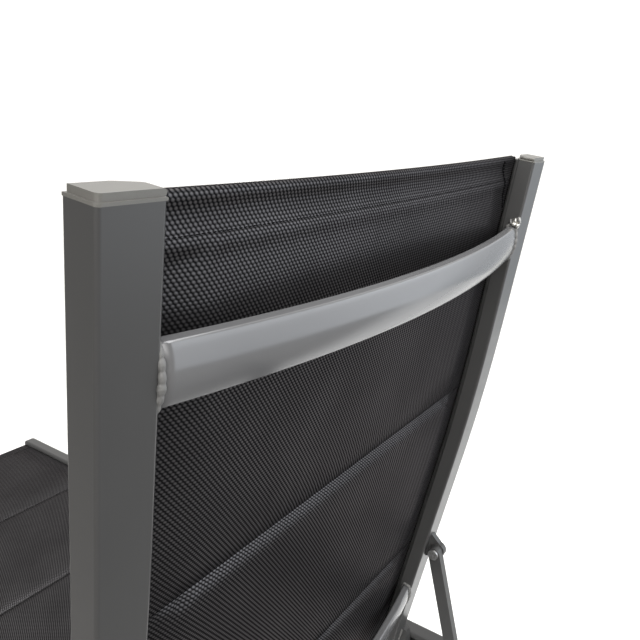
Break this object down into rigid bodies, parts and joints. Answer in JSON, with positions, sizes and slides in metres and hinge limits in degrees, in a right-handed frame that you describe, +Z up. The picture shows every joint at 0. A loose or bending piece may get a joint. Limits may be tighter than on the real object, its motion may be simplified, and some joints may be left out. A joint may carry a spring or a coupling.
{
  "type": "reclining sun lounger",
  "caption": "Reclining sun lounger with an aluminium frame, padded mesh slings and a raised backrest that a hinged prop holds on notched racks.",
  "frame": {"origin": "floor level, under the middle of the base", "axes": "+Z up, +Y from the head end to the foot end, +X to the right of someone behind the head end who looks at the foot end"},
  "size_m": [0.672, 1.95, 1.08],
  "materials": {
    "frame": "grey satin powder coat",
    "cap": "moulded, fine grain",
    "sling": "coated woven mesh, quilted over thin padding",
    "keder": "extruded rod",
    "fastener": "zinc plated",
    "moulding": "moulded nylon"
  },
  "bodies": {
    "base": {"base_cap_foot_left": "cap", "base_cap_foot_right": "cap", "base_cap_head_left": "cap", "base_cap_head_right": "cap", "base_crossbar_foot": "frame", "base_crossbar_head": "frame", "base_crossbar_hinge": "frame", "base_crossbar_middle": "frame", "base_rail_left": "frame", "base_rail_right": "frame", "foot_foot_left": "moulding", "foot_foot_right": "moulding", "foot_head_left": "moulding", "foot_head_right": "moulding", "hinge_bolt_left": "fastener", "hinge_bolt_right": "fastener", "hinge_nut_left": "fastener", "hinge_nut_right": "fastener", "hinge_washer_left": "moulding", "hinge_washer_right": "moulding", "leg_foot_left": "frame", "leg_foot_right": "frame", "leg_head_left": "frame", "leg_head_right": "frame", "rack_left": "moulding", "rack_right": "moulding", "rack_screws": "fastener", "seat_keder_left": "keder", "seat_keder_right": "keder", "seat_sling": "sling", "stretcher_foot": "frame", "stretcher_head": "frame"},
    "backrest": {"backrest_cap_left": "cap", "backrest_cap_right": "cap", "backrest_crossbar_lower": "frame", "backrest_crossbar_top": "frame", "backrest_keder_left": "keder", "backrest_keder_right": "keder", "backrest_plug_left": "cap", "backrest_plug_right": "cap", "backrest_rail_left": "frame", "backrest_rail_right": "frame", "backrest_sling": "sling", "hinge_bush_left": "moulding", "hinge_bush_right": "moulding", "hinge_lug_left": "frame", "hinge_lug_right": "frame", "prop_lug_left": "frame", "prop_lug_right": "frame", "prop_nut_left": "fastener", "prop_nut_right": "fastener", "prop_pin_left": "fastener", "prop_pin_right": "fastener"},
    "prop": {"prop_arm_left": "frame", "prop_arm_right": "frame", "prop_rod": "frame", "prop_sleeve_left": "moulding", "prop_sleeve_right": "moulding"}
  },
  "joints": [
    {"name": "backrest_recline", "type": "hinge", "parent": "base", "child": "backrest", "pos_m": [0, -0.16, 0.285], "axis": [1, 0, 0], "range_deg": [0, 76.7]},
    {"name": "prop_swing", "type": "hinge", "parent": "backrest", "child": "prop", "pos_m": [0, -0.21636, 0.52343], "axis": [1, 0, 0], "range_deg": [-153.4, 0]}
  ],
  "couplings": [
    {"joint": "prop_swing", "follows": "backrest_recline", "ratio": -2}
  ]
}
